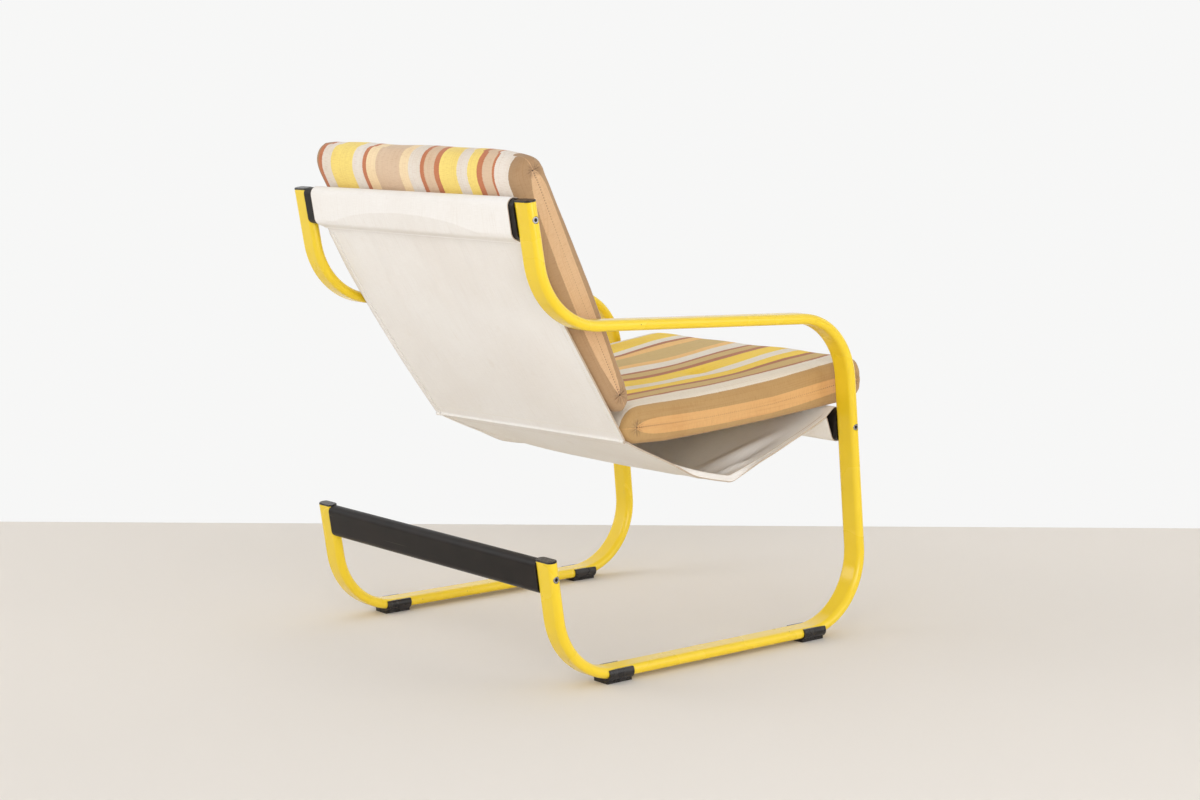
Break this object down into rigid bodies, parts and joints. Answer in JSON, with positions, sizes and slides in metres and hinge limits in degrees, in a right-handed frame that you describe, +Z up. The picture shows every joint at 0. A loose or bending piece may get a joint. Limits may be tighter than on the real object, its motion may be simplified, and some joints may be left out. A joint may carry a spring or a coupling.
{
  "type": "cantilever lounge chair",
  "caption": "Low lounge chair: two bent flat-oval tube side frames, three crossbars, a hanging canvas sling and loose striped seat and back cushions.",
  "frame": {"origin": "on the floor under the middle of the chair's overall size", "axes": "+Z up, -Y forward the way the sitter faces, +X to the sitter's left"},
  "size_m": [0.6028, 0.7263, 0.7685],
  "materials": {
    "yellow_paint": "gloss enamel",
    "black_paint": "semi-gloss enamel",
    "black_plastic": "moulded, satin",
    "plug_plastic": "moulded",
    "bright_screw": "bright plated",
    "canvas": "plain unbleached cotton canvas",
    "striped_cotton": "woven cotton with lengthwise stripes",
    "foam": "cut foam block"
  },
  "bodies": {
    "root": {"back_cushion_cover": "striped_cotton", "back_cushion_foam": "foam", "left_back_cap": "black_plastic", "left_front_foot": "black_plastic", "left_post_cap": "black_plastic", "left_rear_bar_plug": "plug_plastic", "left_rear_bar_screw": "bright_screw", "left_rear_foot": "black_plastic", "left_seat_bar_plug": "plug_plastic", "left_seat_bar_screw": "bright_screw", "left_side_frame": "yellow_paint", "left_top_bar_plug": "plug_plastic", "left_top_bar_screw": "bright_screw", "rear_crossbar": "black_paint", "right_back_cap": "black_plastic", "right_front_foot": "black_plastic", "right_post_cap": "black_plastic", "right_rear_bar_plug": "plug_plastic", "right_rear_bar_screw": "bright_screw", "right_rear_foot": "black_plastic", "right_seat_bar_plug": "plug_plastic", "right_seat_bar_screw": "bright_screw", "right_side_frame": "yellow_paint", "right_top_bar_plug": "plug_plastic", "right_top_bar_screw": "bright_screw", "seat_crossbar": "black_paint", "seat_cushion_cover": "striped_cotton", "seat_cushion_foam": "foam", "sling_back_panel": "canvas", "sling_front_pocket": "canvas", "sling_seat_panel": "canvas", "sling_top_pocket": "canvas", "top_crossbar": "black_paint"}
  },
  "joints": []
}
